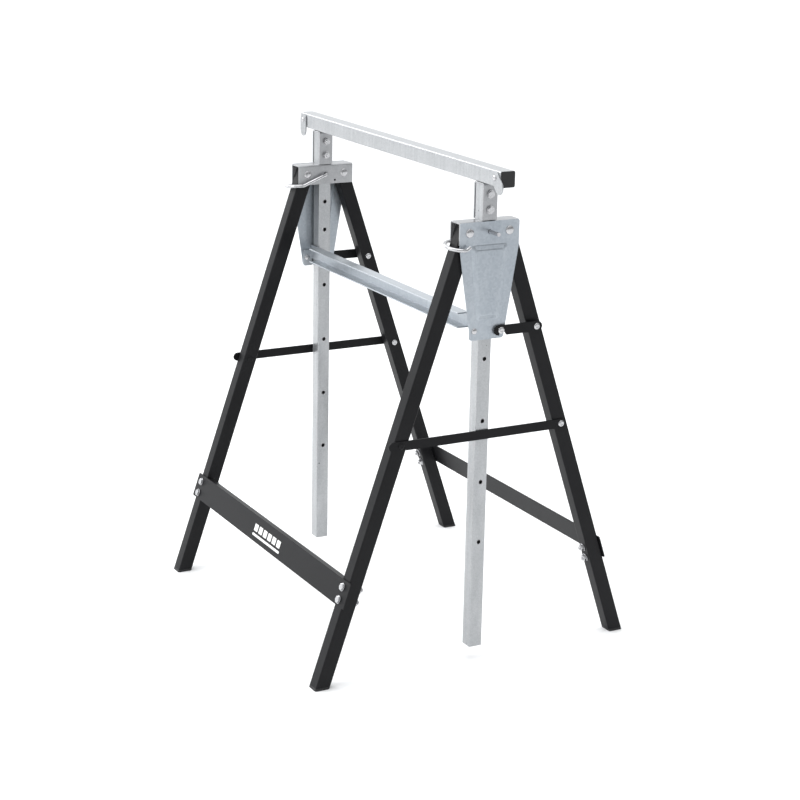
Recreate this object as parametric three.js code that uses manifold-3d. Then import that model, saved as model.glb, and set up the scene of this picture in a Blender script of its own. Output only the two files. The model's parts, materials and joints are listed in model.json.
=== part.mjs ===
// Folding sawhorse with an adjustable crossbeam.
// Millimetres, +Z up. X runs along the beam, -Y is the front side with the wide rail.
import * as THREE from 'three';
import { mergeVertices } from 'three/addons/utils/BufferGeometryUtils.js';
import Module from 'manifold-3d';

const wasm = await Module();
wasm.setup();

// ---------------------------------------------------------------- driving sizes
// Overall
const TOP_HEIGHT = 800;          // beam top above the floor, beam fully down
const BEAM_LENGTH = 686;         // over both end caps
const STATION_SPAN = 560;        // between the two leg frames, centre to centre
const SPLAY_DEG = 18.78;         // lean of each leg from upright

// Fits
const GAP = 0.3;                 // between faces that touch
const HOLE_PLAY = 0.6;           // on the diameter, rivet or bolt in its hole
const WIRE_PLAY = 0.8;           // on the diameter, wire pin in its hole

// Square tubes
const BEAM_TUBE = 25;
const LEG_TUBE = 24;
const POST_TUBE = 23;
const TUBE_WALL = 1.5;
const TUBE_RADIUS = 2.4;

// Sheet metal
const HEAD_WALL = 2;
const HEAD_HEIGHT = 34;
const HEAD_SLACK = 1;            // head's inside over the widest tube in it
const HEAD_LENGTH = 104;         // across the frame, front to back
const PIVOT_COVER = 2;           // from the leg tube, turned level, to the head's roof
const ROOF_GAP = 1;              // from the leg's top corner to the head's roof
const LEG_PIVOT_OFFSET = 35;     // from the post centre, front and back
const GUSSET_SHEET = 2;
const GUSSET_DEPTH = 183.7;
const GUSSET_EMBOSS = 1;
const RAIL_SHEET = 2;
const STRAP_SHEET = 2;           // spreader bars and latch hooks

// Saddle brackets
const SADDLE_WALL = 2.5;
const SADDLE_DEPTH = 57;
const SADDLE_WIDTH = 25;
const SADDLE_OVER_HEAD = 1;

// Posts
const POST_BOTTOM = 23;
const POST_HOLE_PITCH = 100;
const POST_HOLE_COUNT = 6;
const POST_HOLE = 7;

// Crossbar between the two gussets
const CROSSBAR_UP = 12.7;        // its underside above the gusset's lower edge
const CROSSBAR_HEIGHT = 24.5;
const CROSSBAR_SHEET = 2;
const CROSSBAR_FLANGE = 20.5;
const CROSSBAR_BEHIND_GAP = 1;   // between its web and the posts
const EAR_HEIGHT = 29;
const EAR_REACH = 17.5;
const EAR_GAP = 0.5;             // between ear and gusset

// Lower rails, measured down the leg from the pivot
const FRONT_RAIL_TOP = 564.4;
const FRONT_RAIL_HEIGHT = 41.7;
const FRONT_RAIL_LENGTH = 599;
const FRONT_RAIL_FLANGE = 13;
const REAR_RAIL_TOP = 560.6;
const REAR_RAIL_HEIGHT = 39.4;
const REAR_RAIL_LENGTH = 591;
const FRONT_BOLTS_DOWN = [575.9, 596.5];
const REAR_BOLTS_DOWN = [572, 591.6];

// Spreader bars and latch hooks
const SPREADER_HEIGHT = 379.5;   // above the floor
const SPREADER_WIDTH = 15;
const SPREADER_OVERHANG = 21.5;  // past the stud
const LATCH_UP = 12.7;           // stud above the gusset's lower edge
const LATCH_WIDTH = 16;
const LATCH_OVERHANG = 12.5;
const LATCH_STUD_OFFSET = 23.5;  // from the post centre
const FOLD_DEG = 17;             // each leg's swing towards upright
const SPREADER_RATIO = 2.7;      // bar's lift on its leg for each degree of fold
const LATCH_RATIO = 5;
const NOTCH_EASE = 0.05;         // added to the slope that just lets a stud out

// Fasteners
const RIVET = 8;                 // leg pivots
const RIVET_HEAD = 14;
const RIVET_HEAD_RISE = 2.4;
const SMALL_RIVET = 6;
const SMALL_RIVET_HEAD = 9.6;
const BOLT = 6;
const BOLT_HEAD = 10;            // across flats
const BOLT_HEAD_RISE = 4;
const NUT_RISE = 5;
const WASHER = 13;
const WASHER_RISE = 1.2;

// Wire locking pins
const WIRE = 6;
const WIRE_DROP_DEG = 21;        // arm below level when it hangs on the head
const WIRE_ARM = 49.3;           // shank to the start of the bow
const BOW_DROP = 6.5;            // outer end of the bow below its inner arm
const PIN_TIP_OUT = 25.5;        // past the gusset

// Edge stops on the beam
const STOP_WIDTH = 21;
const STOP_LENGTH = 39;
const STOP_SHEET = 2;
const STOP_INSET = 14.6;         // rivet in from the beam's end
const STOP_TURN_DEG = 45;        // right stop rests swung outward by this much

// End caps and foot plugs
const CAP_RISE = 1;
const CAP_INSET = 0.4;           // cap's face in from the tube's sides
const CAP_PLUG = 7;
const PLUG_WALL = 1.8;
const FOOT_SOLE = 4;
const FOOT_PLUG_DEPTH = 22;

// ---------------------------------------------------------------- worked out sizes
const SPLAY = THREE.MathUtils.degToRad(SPLAY_DEG);
const STATION = STATION_SPAN / 2;
const BEAM_BOTTOM = TOP_HEIGHT - BEAM_TUBE;
const SADDLE_BOTTOM = BEAM_BOTTOM - SADDLE_DEPTH;
const HEAD_TOP = SADDLE_BOTTOM - SADDLE_OVER_HEAD;
const PIN_BELOW_HEAD_TOP = LEG_TUBE / 2 + HEAD_WALL + PIVOT_COVER;
const PIVOT_HEIGHT = HEAD_TOP - PIN_BELOW_HEAD_TOP;
const WIDEST_TUBE = Math.max(LEG_TUBE, POST_TUBE);
const HEAD_INNER = WIDEST_TUBE + HEAD_SLACK;
const HEAD_OUTER = HEAD_INNER + 2 * HEAD_WALL;
const LEG_OUT = STATION + LEG_TUBE / 2;
const LEG_IN = STATION - LEG_TUBE / 2;
const GUSSET_IN = STATION + HEAD_OUTER / 2 + GAP;
const GUSSET_OUT = GUSSET_IN + GUSSET_SHEET;
const GUSSET_BOTTOM = HEAD_TOP - GUSSET_DEPTH;
const CROSSBAR_BOTTOM = GUSSET_BOTTOM + CROSSBAR_UP;
const LATCH_HEIGHT = GUSSET_BOTTOM + LATCH_UP;
const EAR_OUT = GUSSET_IN - EAR_GAP;
const EAR_IN = EAR_OUT - CROSSBAR_SHEET;
const STRAP_IN = STATION + WIDEST_TUBE / 2 + GAP;
const STRAP_OUT = STRAP_IN + STRAP_SHEET;
const LATCH_IN = GUSSET_OUT + GUSSET_EMBOSS + GAP;
const LATCH_OUT = LATCH_IN + STRAP_SHEET;
const WEB_BACK = -(POST_TUBE / 2 + CROSSBAR_BEHIND_GAP);
const WEB_FRONT = WEB_BACK - CROSSBAR_SHEET;
const PIVOT_HOLE = RIVET + HOLE_PLAY;
const SMALL_HOLE = SMALL_RIVET + HOLE_PLAY;
const BOLT_HOLE = BOLT + HOLE_PLAY;
const WIRE_HOLE = WIRE + WIRE_PLAY;
const LEG_TOP_OVER =
  (LEG_TUBE / 2 + PIVOT_COVER - ROOF_GAP - (LEG_TUBE / 2) * Math.sin(SPLAY)) / Math.cos(SPLAY);
const legDown = (height) => (PIVOT_HEIGHT - height) / Math.cos(SPLAY);
const legReach = (height) => LEG_PIVOT_OFFSET + (PIVOT_HEIGHT - height) * Math.tan(SPLAY);
const STOP_TURN = THREE.MathUtils.degToRad(STOP_TURN_DEG);
const STOP_REACH = STOP_LENGTH - STOP_WIDTH;
const STOP_STATION = BEAM_LENGTH / 2 - STOP_INSET;
const STOP_RIGHT_REACH = STOP_STATION + STOP_REACH * Math.sin(STOP_TURN) + STOP_WIDTH / 2;
const SHIFT_X = -(Math.max(STOP_RIGHT_REACH, BEAM_LENGTH / 2) - BEAM_LENGTH / 2) / 2;

const COLOURS = {
  galvanised: 0xb9c1c8,
  black: 0x2b2a2c,
  zinc: 0xc9ccd0,
  plastic: 0x17181a,
};

// ---------------------------------------------------------------- helpers
const model = new THREE.Group();
model.name = 'folding_sawhorse';
model.position.x = SHIFT_X;

// A geometry turned into a manifold solid
function solid(geometry) {
  const bare = geometry.clone();
  bare.deleteAttribute('normal');
  bare.deleteAttribute('uv');
  const merged = mergeVertices(bare, 1e-4);
  return new wasm.Manifold(new wasm.Mesh({
    numProp: 3,
    vertProperties: Float32Array.from(merged.attributes.position.array),
    triVerts: Uint32Array.from(merged.index.array),
  }));
}

// A manifold solid turned back into a geometry
function shell(body) {
  const mesh = body.getMesh();
  const geometry = new THREE.BufferGeometry();
  geometry.setAttribute('position', new THREE.BufferAttribute(mesh.vertProperties, 3));
  geometry.setIndex(new THREE.BufferAttribute(mesh.triVerts, 1));
  geometry.computeVertexNormals();
  return geometry;
}

function cut(base, tools) {
  return tools.reduce((rest, tool) => rest.subtract(tool), base);
}

function join(pieces) {
  return pieces.reduce((sum, piece) => sum.add(piece));
}

function addPiece(name, body, colour, metalness, parent = model) {
  const material = new THREE.MeshStandardMaterial({ color: colour, metalness, roughness: 0.5 });
  const mesh = new THREE.Mesh(shell(body), material);
  mesh.name = name;
  parent.add(mesh);
  return mesh;
}

// Rectangle with rounded corners about (cx, cy), as a Shape or a hole Path
function roundedRect(width, height, radius, cx = 0, cy = 0, Kind = THREE.Shape) {
  const x = width / 2;
  const y = height / 2;
  const path = new Kind();
  const quarter = Math.PI / 2;
  path.moveTo(cx + x, cy - y + radius);
  path.absarc(cx + x - radius, cy + y - radius, radius, 0, quarter, false);
  path.absarc(cx - x + radius, cy + y - radius, radius, quarter, 2 * quarter, false);
  path.absarc(cx - x + radius, cy - y + radius, radius, 2 * quarter, 3 * quarter, false);
  path.absarc(cx + x - radius, cy - y + radius, radius, 3 * quarter, 4 * quarter, false);
  return path;
}

// Closed outline through points, each corner rounded by its own radius [x, y, r]
function roundedOutline(points) {
  const shape = new THREE.Shape();
  const count = points.length;
  points.forEach(([x, y, radius], i) => {
    const here = new THREE.Vector2(x, y);
    const back = new THREE.Vector2(...points[(i + count - 1) % count]).sub(here).normalize();
    const ahead = new THREE.Vector2(...points[(i + 1) % count]).sub(here).normalize();
    const half = Math.acos(THREE.MathUtils.clamp(back.dot(ahead), -1, 1)) / 2;
    const run = radius / Math.tan(half);
    const start = here.clone().addScaledVector(back, run);
    const end = here.clone().addScaledVector(ahead, run);
    if (i === 0) shape.moveTo(start.x, start.y);
    else shape.lineTo(start.x, start.y);
    if (radius > 0) {
      const centre = back.clone().add(ahead).normalize().multiplyScalar(radius / Math.sin(half)).add(here);
      const a0 = Math.atan2(start.y - centre.y, start.x - centre.x);
      let turn = Math.atan2(end.y - centre.y, end.x - centre.x) - a0;
      turn = Math.atan2(Math.sin(turn), Math.cos(turn));
      const steps = Math.max(2, Math.ceil(Math.abs(turn) / 0.55));
      for (let k = 1; k <= steps; k += 1) {
        const a = a0 + (turn * k) / steps;
        shape.lineTo(centre.x + radius * Math.cos(a), centre.y + radius * Math.sin(a));
      }
    }
  });
  return shape;
}

function extrude(shape, depth, segments = 5) {
  return new THREE.ExtrudeGeometry(shape, { depth, bevelEnabled: false, curveSegments: segments });
}

const TO_YZ = new THREE.Matrix4().makeBasis(
  new THREE.Vector3(0, 1, 0),
  new THREE.Vector3(0, 0, 1),
  new THREE.Vector3(1, 0, 0),
);
const TO_XZ = new THREE.Matrix4().makeBasis(
  new THREE.Vector3(1, 0, 0),
  new THREE.Vector3(0, 0, 1),
  new THREE.Vector3(0, -1, 0),
);

// Sheet whose outline lies in Y-Z, standing between two distances from the middle on one side
function sheetAcrossX(shape, side, inner, outer, segments = 5) {
  const geometry = extrude(shape, outer - inner, segments);
  geometry.applyMatrix4(TO_YZ);
  geometry.translate(side > 0 ? inner : -outer, 0, 0);
  return geometry;
}

// Sheet whose outline lies in X-Z, from y = back forward by its depth
function sheetAcrossY(shape, back, depth, segments = 5) {
  const geometry = extrude(shape, depth, segments);
  geometry.applyMatrix4(TO_XZ);
  geometry.translate(0, back, 0);
  return geometry;
}

function boxBetween(x0, x1, y0, y1, z0, z1) {
  const geometry = new THREE.BoxGeometry(Math.abs(x1 - x0), y1 - y0, z1 - z0);
  geometry.translate((x0 + x1) / 2, (y0 + y1) / 2, (z0 + z1) / 2);
  return solid(geometry);
}

// Hole cutter along X, Y at a point
function drillX(diameter, x0, x1, y, z, segments = 12) {
  const geometry = new THREE.CylinderGeometry(diameter / 2, diameter / 2, Math.abs(x1 - x0), segments);
  geometry.rotateZ(Math.PI / 2);
  geometry.translate((x0 + x1) / 2, y, z);
  return solid(geometry);
}

function drillY(diameter, y0, y1, x, z, segments = 12) {
  const geometry = new THREE.CylinderGeometry(diameter / 2, diameter / 2, Math.abs(y1 - y0), segments);
  geometry.translate(x, (y0 + y1) / 2, z);
  return solid(geometry);
}

// Turned piece along X: profile is [distance from the middle, radius], placed on one side
function turnedX(profile, side, y, z, segments = 12) {
  const points = profile.map(([along, radius]) => new THREE.Vector2(radius, along));
  const geometry = new THREE.LatheGeometry(points, segments);
  geometry.rotateZ(side > 0 ? -Math.PI / 2 : Math.PI / 2);
  geometry.translate(0, y, z);
  return solid(geometry);
}

// Profile of a rivet whose two domed heads sit on faces at inner and outer
function rivetProfile(inner, outer, shank, head, rise) {
  const dome = (k) => Math.cos((k * Math.PI) / 8);
  const lift = (k) => Math.sin((k * Math.PI) / 8);
  return [
    [inner - rise, 0],
    [inner - rise * lift(3), (head / 2) * dome(3)],
    [inner - rise * lift(1.5), (head / 2) * dome(1.5)],
    [inner, head / 2],
    [inner, shank / 2],
    [outer, shank / 2],
    [outer, head / 2],
    [outer + rise * lift(1.5), (head / 2) * dome(1.5)],
    [outer + rise * lift(3), (head / 2) * dome(3)],
    [outer + rise, 0],
  ];
}

// Bolt along +Z of its own frame: head under z = 0, washer and nut above z = grip, one solid
function boltBody(grip) {
  const hex = (across, rise, z) => {
    const geometry = new THREE.CylinderGeometry(across / Math.sqrt(3), across / Math.sqrt(3), rise, 6);
    geometry.rotateX(Math.PI / 2);
    geometry.translate(0, 0, z);
    return solid(geometry);
  };
  const nutTop = grip + WASHER_RISE + NUT_RISE;
  const stem = new THREE.LatheGeometry([
    new THREE.Vector2(0, -BOLT_HEAD_RISE),
    new THREE.Vector2(BOLT_HEAD * 0.42, -BOLT_HEAD_RISE),
    new THREE.Vector2(BOLT_HEAD * 0.42, -WASHER_RISE),
    new THREE.Vector2(WASHER / 2, -WASHER_RISE),
    new THREE.Vector2(WASHER / 2, 0),
    new THREE.Vector2(BOLT / 2, 0),
    new THREE.Vector2(BOLT / 2, grip),
    new THREE.Vector2(WASHER / 2, grip),
    new THREE.Vector2(WASHER / 2, grip + WASHER_RISE),
    new THREE.Vector2(BOLT / 2, grip + WASHER_RISE),
    new THREE.Vector2(BOLT / 2, nutTop + 1.6),
    new THREE.Vector2(BOLT / 2 - 0.6, nutTop + 2.2),
    new THREE.Vector2(0, nutTop + 2.2),
  ], 12);
  stem.rotateX(Math.PI / 2);
  return join([
    solid(stem),
    hex(BOLT_HEAD, BOLT_HEAD_RISE - 0.6, -BOLT_HEAD_RISE / 2 - 0.5),
    hex(BOLT_HEAD, NUT_RISE + 0.4, grip + WASHER_RISE + NUT_RISE / 2 - 0.2),
  ]);
}

// The same body turned so that its +Z runs along a direction, head seat at a point
function placed(body, from, direction) {
  const turn = new THREE.Quaternion().setFromUnitVectors(
    new THREE.Vector3(0, 0, 1),
    direction.clone().normalize(),
  );
  const place = new THREE.Matrix4().compose(from, turn, new THREE.Vector3(1, 1, 1));
  const geometry = shell(body);
  geometry.applyMatrix4(place);
  return solid(geometry);
}

// Square tube from the origin up along +Z
function squareTube(size, wall, radius, length) {
  const shape = roundedRect(size, size, radius);
  shape.holes.push(roundedRect(size - 2 * wall, size - 2 * wall, radius - wall + 0.4, 0, 0, THREE.Path));
  return extrude(shape, length, 2);
}

const SIDES = [['left', -1], ['right', 1]];
const ENDS = [['front', -1], ['rear', 1]];

// Group whose local origin is a leg pivot and whose -Z runs down the leg, outward is +Y * end
function legFrame(end) {
  return (geometry) => {
    geometry.rotateX(end * SPLAY);
    geometry.translate(0, end * LEG_PIVOT_OFFSET, PIVOT_HEIGHT);
    return geometry;
  };
}

// ---------------------------------------------------------------- heads
for (const [name, side] of SIDES) {
  const half = HEAD_OUTER / 2;
  const inner = HEAD_INNER / 2;
  const bottom = HEAD_TOP - HEAD_HEIGHT;
  const channel = roundedOutline([
    [-half, bottom, 0],
    [-inner, bottom, 0],
    [-inner, HEAD_TOP - HEAD_WALL, 1.2],
    [inner, HEAD_TOP - HEAD_WALL, 1.2],
    [inner, bottom, 0],
    [half, bottom, 0],
    [half, HEAD_TOP, 3],
    [-half, HEAD_TOP, 3],
  ]);
  const geometry = sheetAcrossY(channel, HEAD_LENGTH / 2, HEAD_LENGTH);
  geometry.translate(side * STATION, 0, 0);
  const through = [side * (STATION - half - 1), side * (STATION + half + 1)];
  const opening = POST_TUBE / 2 + GAP;
  addPiece(`head_${name}`, cut(solid(geometry), [
    boxBetween(side * STATION - opening, side * STATION + opening, -opening, opening,
      HEAD_TOP - 2 * HEAD_WALL, HEAD_TOP + 1),
    drillX(PIVOT_HOLE, ...through, -LEG_PIVOT_OFFSET, PIVOT_HEIGHT),
    drillX(PIVOT_HOLE, ...through, LEG_PIVOT_OFFSET, PIVOT_HEIGHT),
    drillX(WIRE_HOLE, ...through, 0, PIVOT_HEIGHT),
    drillX(4, side * (STATION - half - 1), side * STATION, 17.8, HEAD_TOP - 28),
  ]), COLOURS.galvanised, 0.9);
}

// ---------------------------------------------------------------- gussets
for (const [name, side] of SIDES) {
  const outline = roundedOutline([
    [-HEAD_LENGTH / 2, HEAD_TOP, 3],
    [-HEAD_LENGTH / 2, HEAD_TOP - 40, 14],
    [-31, GUSSET_BOTTOM + 12, 8],
    [-29.5, GUSSET_BOTTOM, 5],
    [29.5, GUSSET_BOTTOM, 5],
    [31, GUSSET_BOTTOM + 12, 8],
    [HEAD_LENGTH / 2, HEAD_TOP - 40, 14],
    [HEAD_LENGTH / 2, HEAD_TOP, 3],
  ]);
  const panelTop = HEAD_TOP - 36;
  const panelBottom = GUSSET_BOTTOM + 31.5;
  const panel = (grow) => roundedOutline([
    [-32.5 - grow, panelTop + grow, 5],
    [-19 - grow, panelBottom - grow, 4],
    [19 + grow, panelBottom - grow, 4],
    [32.5 + grow, panelTop + grow, 5],
  ]);
  const raised = join([
    solid(sheetAcrossX(outline, side, GUSSET_IN, GUSSET_OUT)),
    solid(sheetAcrossX(panel(0.6), side, GUSSET_OUT - 0.5, GUSSET_OUT + GUSSET_EMBOSS / 2)),
    solid(sheetAcrossX(panel(0), side, GUSSET_OUT - 0.5, GUSSET_OUT + GUSSET_EMBOSS)),
  ]);
  const through = [side * (GUSSET_IN - 1), side * (GUSSET_OUT + 3)];
  const sink = turnedX([
    [GUSSET_IN - 1, 0],
    [GUSSET_IN - 1, SMALL_HOLE / 2 + 1.5],
    [GUSSET_IN, SMALL_HOLE / 2 + 1.5],
    [GUSSET_IN + 1.5, SMALL_HOLE / 2],
    [GUSSET_OUT + 3, SMALL_HOLE / 2],
    [GUSSET_OUT + 3, 0],
  ], side, LATCH_STUD_OFFSET, LATCH_HEIGHT);
  addPiece(`gusset_${name}`, cut(raised, [
    solid(sheetAcrossX(panel(-2), side, GUSSET_IN - 1, GUSSET_IN + GUSSET_EMBOSS)),
    drillX(PIVOT_HOLE, ...through, -LEG_PIVOT_OFFSET, PIVOT_HEIGHT),
    drillX(PIVOT_HOLE, ...through, LEG_PIVOT_OFFSET, PIVOT_HEIGHT),
    drillX(WIRE_HOLE, ...through, 0, PIVOT_HEIGHT),
    drillX(SMALL_HOLE, ...through, WEB_FRONT - 8, CROSSBAR_BOTTOM + 2),
    sink,
  ]), COLOURS.galvanised, 0.9);
}

// ---------------------------------------------------------------- crossbar
const EAR_TOP = CROSSBAR_BOTTOM + 16;
const CROSSBAR_FLANGE_END = LEG_IN - 6;
{
  const top = CROSSBAR_BOTTOM + CROSSBAR_HEIGHT;
  const pieces = [
    boxBetween(-EAR_OUT, EAR_OUT, WEB_FRONT, WEB_BACK, CROSSBAR_BOTTOM, top),
    boxBetween(-CROSSBAR_FLANGE_END, CROSSBAR_FLANGE_END, WEB_BACK - CROSSBAR_FLANGE, WEB_BACK,
      CROSSBAR_BOTTOM, CROSSBAR_BOTTOM + CROSSBAR_SHEET),
    boxBetween(-CROSSBAR_FLANGE_END, CROSSBAR_FLANGE_END, WEB_BACK - CROSSBAR_FLANGE, WEB_BACK,
      top - CROSSBAR_SHEET, top),
  ];
  const holes = [];
  for (const [, side] of SIDES) {
    const ear = roundedOutline([
      [WEB_BACK - EAR_REACH, EAR_TOP - EAR_HEIGHT, 4],
      [WEB_BACK, EAR_TOP - EAR_HEIGHT, 2],
      [WEB_BACK, EAR_TOP, 0],
      [WEB_BACK - EAR_REACH, EAR_TOP, 4],
    ]);
    pieces.push(solid(sheetAcrossX(ear, side, EAR_IN, EAR_OUT)));
    holes.push(drillX(SMALL_HOLE, side * (EAR_IN - 1), side * (EAR_OUT + 1),
      WEB_FRONT - 8, CROSSBAR_BOTTOM + 2));
  }
  addPiece('crossbar', cut(join(pieces), holes), COLOURS.galvanised, 0.9);
}

// ---------------------------------------------------------------- legs with their rails
for (const [endName, end] of ENDS) {
  const toLeg = legFrame(end);
  const boltsDown = end < 0 ? FRONT_BOLTS_DOWN : REAR_BOLTS_DOWN;
  const linkDown = legDown(SPREADER_HEIGHT);
  const hookDown = legDown(LATCH_HEIGHT);
  const footDown = legDown(FOOT_SOLE);

  for (const [sideName, side] of SIDES) {
    const longEnough = footDown + LEG_TUBE;
    const tube = squareTube(LEG_TUBE, TUBE_WALL, TUBE_RADIUS, longEnough + LEG_TOP_OVER);
    tube.translate(side * STATION, 0, -longEnough);
    toLeg(tube);
    const across = [side * (LEG_IN - 1), side * (LEG_OUT + 1)];
    const holes = [
      boxBetween(-BEAM_LENGTH, BEAM_LENGTH, -600, 600, -300, FOOT_SOLE + GAP),
      drillX(PIVOT_HOLE, ...across, end * LEG_PIVOT_OFFSET, PIVOT_HEIGHT),
      drillX(SMALL_HOLE, ...across, end * legReach(SPREADER_HEIGHT), SPREADER_HEIGHT),
    ];
    if (end > 0) holes.push(drillX(SMALL_HOLE, ...across, legReach(LATCH_HEIGHT), LATCH_HEIGHT));
    for (const down of boltsDown) {
      const drill = new THREE.CylinderGeometry(BOLT_HOLE / 2, BOLT_HOLE / 2, LEG_TUBE + 4, 12);
      drill.translate(side * STATION, 0, -down);
      holes.push(solid(toLeg(drill)));
    }
    addPiece(`${endName}_leg_${sideName}`, cut(solid(tube), holes), COLOURS.black, 0.3);

    // Foot plug: sole in the leg's slanted section, hollow insert up inside the tube
    const insertSize = LEG_TUBE - 2 * TUBE_WALL - 2 * GAP;
    const sole = extrude(roundedRect(LEG_TUBE, LEG_TUBE, TUBE_RADIUS), 3 * LEG_TUBE, 2);
    sole.translate(side * STATION, 0, -footDown - 2 * LEG_TUBE);
    const insert = extrude(roundedRect(insertSize, insertSize, 1.2), FOOT_PLUG_DEPTH + 12, 2);
    insert.translate(side * STATION, 0, -footDown - 12);
    const hollow = extrude(
      roundedRect(insertSize - 2 * PLUG_WALL, insertSize - 2 * PLUG_WALL, 0.8), FOOT_PLUG_DEPTH + 12, 2);
    hollow.translate(side * STATION, 0, -footDown - 6);
    const far = 600;
    const soleSlab = boxBetween(-BEAM_LENGTH, BEAM_LENGTH, -far, far, 0, FOOT_SOLE);
    const insertSlab = boxBetween(-BEAM_LENGTH, BEAM_LENGTH, -far, far, FOOT_SOLE / 2, 100);
    const hollowSlab = boxBetween(-BEAM_LENGTH, BEAM_LENGTH, -far, far, FOOT_SOLE, 100);
    addPiece(`${endName}_foot_plug_${sideName}`, cut(join([
      solid(toLeg(sole)).intersect(soleSlab),
      solid(toLeg(insert)).intersect(insertSlab),
    ]), [solid(toLeg(hollow)).intersect(hollowSlab)]), COLOURS.plastic, 0);

    // Leg pivot rivet through head, leg and gusset
    addPiece(`${endName}_pivot_rivet_${sideName}`, turnedX(
      rivetProfile(STATION - HEAD_OUTER / 2 - GAP, GUSSET_OUT + GAP, RIVET, RIVET_HEAD, RIVET_HEAD_RISE),
      side, end * LEG_PIVOT_OFFSET, PIVOT_HEIGHT), COLOURS.zinc, 1);

    // Spreader rivet at the rear, headed stud at the front
    addPiece(end > 0 ? `spreader_rivet_${sideName}` : `spreader_stud_${sideName}`, turnedX(
      rivetProfile(LEG_IN - GAP, STRAP_OUT + GAP, SMALL_RIVET, SMALL_RIVET_HEAD, 2),
      side, end * legReach(SPREADER_HEIGHT), SPREADER_HEIGHT), COLOURS.zinc, 1);
  }

  // Rail across the outer faces of both legs
  const face = LEG_TUBE / 2 + GAP;
  const railTop = end < 0 ? FRONT_RAIL_TOP : REAR_RAIL_TOP;
  const railHeight = end < 0 ? FRONT_RAIL_HEIGHT : REAR_RAIL_HEIGHT;
  const railLength = end < 0 ? FRONT_RAIL_LENGTH : REAR_RAIL_LENGTH;
  const sheet = sheetAcrossY(
    roundedRect(railLength, railHeight, 2.5, 0, -railTop - railHeight / 2), 0, RAIL_SHEET);
  sheet.translate(0, end > 0 ? face + RAIL_SHEET : -face, 0);
  const rail = [solid(toLeg(sheet))];
  if (end < 0) {
    const flange = new THREE.BoxGeometry(2 * (LEG_IN - 1.5), FRONT_RAIL_FLANGE, RAIL_SHEET);
    flange.translate(0, -face - RAIL_SHEET + FRONT_RAIL_FLANGE / 2, -railTop - RAIL_SHEET / 2);
    rail.push(solid(toLeg(flange)));
  }
  const railHoles = [];
  for (const [sideName, side] of SIDES) {
    boltsDown.forEach((down, i) => {
      const drill = new THREE.CylinderGeometry(BOLT_HOLE / 2, BOLT_HOLE / 2, 12, 12);
      drill.translate(side * STATION, end * face, -down);
      railHoles.push(solid(toLeg(drill)));

      // Bolt head outside on the rail, washer and nut inside on the leg
      const grip = face + RAIL_SHEET + LEG_TUBE / 2 + 2 * GAP;
      const bolt = shell(placed(
        boltBody(grip),
        new THREE.Vector3(side * STATION, end * (face + RAIL_SHEET + GAP), -down),
        new THREE.Vector3(0, -end, 0),
      ));
      addPiece(`${endName}_rail_bolt_${sideName}_${i + 1}`, solid(toLeg(bolt)), COLOURS.zinc, 1);
    });
  }
  addPiece(`${endName}_rail`, cut(join(rail), railHoles), COLOURS.black, 0.3);

  // Latch hook rivet, shouldered so the hook clears the gusset
  if (end > 0) {
    for (const [sideName, side] of SIDES) {
      addPiece(`latch_rivet_${sideName}`, turnedX([
        [LEG_IN - GAP - 2, 0],
        [LEG_IN - GAP - 1.4, SMALL_RIVET_HEAD * 0.35],
        [LEG_IN - GAP, SMALL_RIVET_HEAD / 2],
        [LEG_IN - GAP, SMALL_RIVET / 2],
        [LEG_OUT + GAP, SMALL_RIVET / 2],
        [LEG_OUT + GAP, SMALL_RIVET_HEAD / 2],
        [LATCH_IN - GAP, SMALL_RIVET_HEAD / 2],
        [LATCH_IN - GAP, SMALL_RIVET / 2],
        [LATCH_OUT + GAP, SMALL_RIVET / 2],
        [LATCH_OUT + GAP, SMALL_RIVET_HEAD / 2],
        [LATCH_OUT + GAP + 1.4, SMALL_RIVET_HEAD * 0.35],
        [LATCH_OUT + GAP + 2, 0],
      ], side, legReach(LATCH_HEIGHT), LATCH_HEIGHT), COLOURS.zinc, 1);
    }
  }
}

// Crossbar rivets and latch studs, fixed to the gussets
for (const [name, side] of SIDES) {
  addPiece(`crossbar_rivet_${name}`, turnedX(
    rivetProfile(EAR_IN - GAP, GUSSET_OUT + GAP, SMALL_RIVET, SMALL_RIVET_HEAD, 2),
    side, WEB_FRONT - 8, CROSSBAR_BOTTOM + 2), COLOURS.zinc, 1);
  const flush = GUSSET_IN + 0.2;
  addPiece(`latch_stud_${name}`, turnedX([
    [flush, 0],
    [flush, SMALL_RIVET / 2 + 1.3],
    [flush + 1.3, SMALL_RIVET / 2],
    [LATCH_OUT + GAP, SMALL_RIVET / 2],
    [LATCH_OUT + GAP, SMALL_RIVET_HEAD / 2],
    [LATCH_OUT + GAP + 1.6, SMALL_RIVET_HEAD / 2],
    [LATCH_OUT + GAP + 2.2, SMALL_RIVET_HEAD / 2 - 0.8],
    [LATCH_OUT + GAP + 2.2, 0],
  ], side, LATCH_STUD_OFFSET, LATCH_HEIGHT), COLOURS.zinc, 1);
}

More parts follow.
